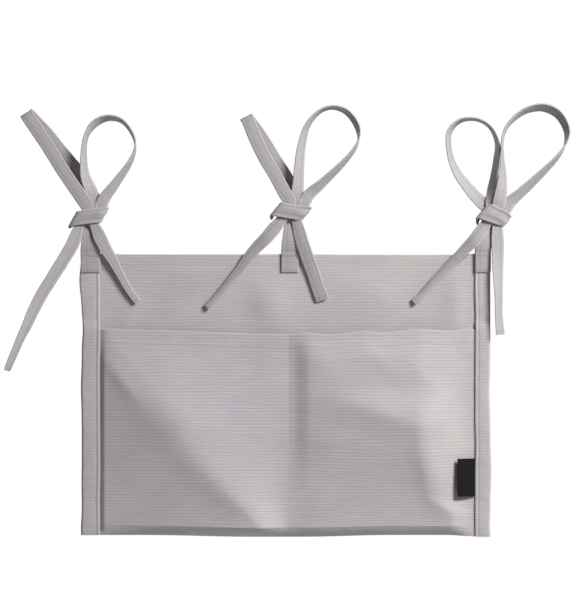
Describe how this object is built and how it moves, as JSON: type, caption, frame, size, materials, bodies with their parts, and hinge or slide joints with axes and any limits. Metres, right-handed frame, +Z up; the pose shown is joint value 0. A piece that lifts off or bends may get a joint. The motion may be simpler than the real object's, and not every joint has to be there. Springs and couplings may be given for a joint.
{
  "type": "crib organizer",
  "caption": "Flat cloth organizer with pockets side by side, tied to a crib's rail by bows in flat straps; the panel swings and the pocket fronts open.",
  "frame": {"origin": "on the axis of the rail that the ties go round, halfway along the panel's width", "axes": "+Z up, +X to the right as seen from the front, the pockets face -Y"},
  "size_m": [0.6909, 0.0317, 0.5293],
  "materials": {
    "canvas": "light warm grey slub canvas, fine horizontal ribs, matt",
    "hem_canvas": "the same canvas turned over in hems and side bindings, matt, with grey stitching",
    "strap": "folded and stitched strap of the same canvas, fine square weave, matt",
    "label_cloth": "bare black woven ribbon, slightly satin"
  },
  "bodies": {
    "ties": {"left_knot_wrap": "strap", "left_knot_core": "strap", "left_loop_left": "strap", "left_loop_right": "strap", "left_riser_front": "strap", "left_riser_back": "strap", "centre_knot_wrap": "strap", "centre_knot_core": "strap", "centre_loop_left": "strap", "centre_loop_right": "strap", "centre_riser_front": "strap", "centre_riser_back": "strap", "right_knot_wrap": "strap", "right_knot_core": "strap", "right_loop_left": "strap", "right_loop_right": "strap", "right_riser_front": "strap", "right_riser_back": "strap"},
    "panel": {"back_panel": "canvas", "top_hem": "hem_canvas", "side_binding_left": "hem_canvas", "side_binding_right": "hem_canvas", "pocket_side_left": "canvas", "pocket_divider": "canvas", "pocket_side_right": "canvas", "pocket_bottom_fold": "canvas", "left_tab_front": "strap", "left_tab_back": "strap", "centre_tab_front": "strap", "centre_tab_back": "strap", "right_tab_front": "strap", "right_tab_back": "strap"},
    "pocket_left": {"pocket_front_left": "canvas", "mouth_hem_left": "hem_canvas"},
    "pocket_right": {"pocket_front_right": "canvas", "mouth_hem_right": "hem_canvas"},
    "label": {"side_label": "label_cloth"},
    "left_tail_left": {"left_tail_left": "strap"},
    "left_tail_right": {"left_tail_right": "strap"},
    "centre_tail_left": {"centre_tail_left": "strap"},
    "centre_tail_right": {"centre_tail_right": "strap"},
    "right_tail_left": {"right_tail_left": "strap"},
    "right_tail_right": {"right_tail_right": "strap"}
  },
  "joints": [
    {"name": "panel_swing", "type": "hinge", "parent": "ties", "child": "panel", "pos_m": [0, -0.0037, -0.0181], "axis": [-1, 0, 0], "range_deg": [0, 70]},
    {"name": "pocket_left_open", "type": "hinge", "parent": "panel", "child": "pocket_left", "pos_m": [-0.112, -0.013, -0.3507], "axis": [1, 0, 0], "range_deg": [0, 8]},
    {"name": "pocket_right_open", "type": "hinge", "parent": "panel", "child": "pocket_right", "pos_m": [0.117, -0.013, -0.3507], "axis": [1, 0, 0], "range_deg": [0, 8]},
    {"name": "label_flip", "type": "hinge", "parent": "panel", "child": "label", "pos_m": [0.2303, -0.0047, -0.29], "axis": [0, 0, 1], "range_deg": [0, 150]},
    {"name": "left_tail_left_swing", "type": "hinge", "parent": "ties", "child": "left_tail_left", "pos_m": [-0.25275, -0.00525, 0.01463], "axis": [-1, 0, 0], "range_deg": [0, 75]},
    {"name": "left_tail_right_swing", "type": "hinge", "parent": "ties", "child": "left_tail_right", "pos_m": [-0.23475, -0.00525, 0.01463], "axis": [-1, 0, 0], "range_deg": [0, 60]},
    {"name": "centre_tail_left_swing", "type": "hinge", "parent": "ties", "child": "centre_tail_left", "pos_m": [-0.0046, -0.00525, 0.02249], "axis": [-1, 0, 0], "range_deg": [0, 60]},
    {"name": "centre_tail_right_swing", "type": "hinge", "parent": "ties", "child": "centre_tail_right", "pos_m": [0.0114, -0.00525, 0.02249], "axis": [-1, 0, 0], "range_deg": [0, 60]},
    {"name": "right_tail_left_swing", "type": "hinge", "parent": "ties", "child": "right_tail_left", "pos_m": [0.2444, -0.00525, 0.0139], "axis": [-1, 0, 0], "range_deg": [0, 60]},
    {"name": "right_tail_right_swing", "type": "hinge", "parent": "ties", "child": "right_tail_right", "pos_m": [0.2599, -0.00525, 0.0139], "axis": [-1, 0, 0], "range_deg": [0, 75]}
  ],
  "couplings": [
    {"joint": "left_tail_right_swing", "follows": "panel_swing", "ratio": 0.85},
    {"joint": "centre_tail_left_swing", "follows": "panel_swing", "ratio": 0.85},
    {"joint": "centre_tail_right_swing", "follows": "panel_swing", "ratio": 0.85},
    {"joint": "right_tail_left_swing", "follows": "panel_swing", "ratio": 0.85}
  ]
}
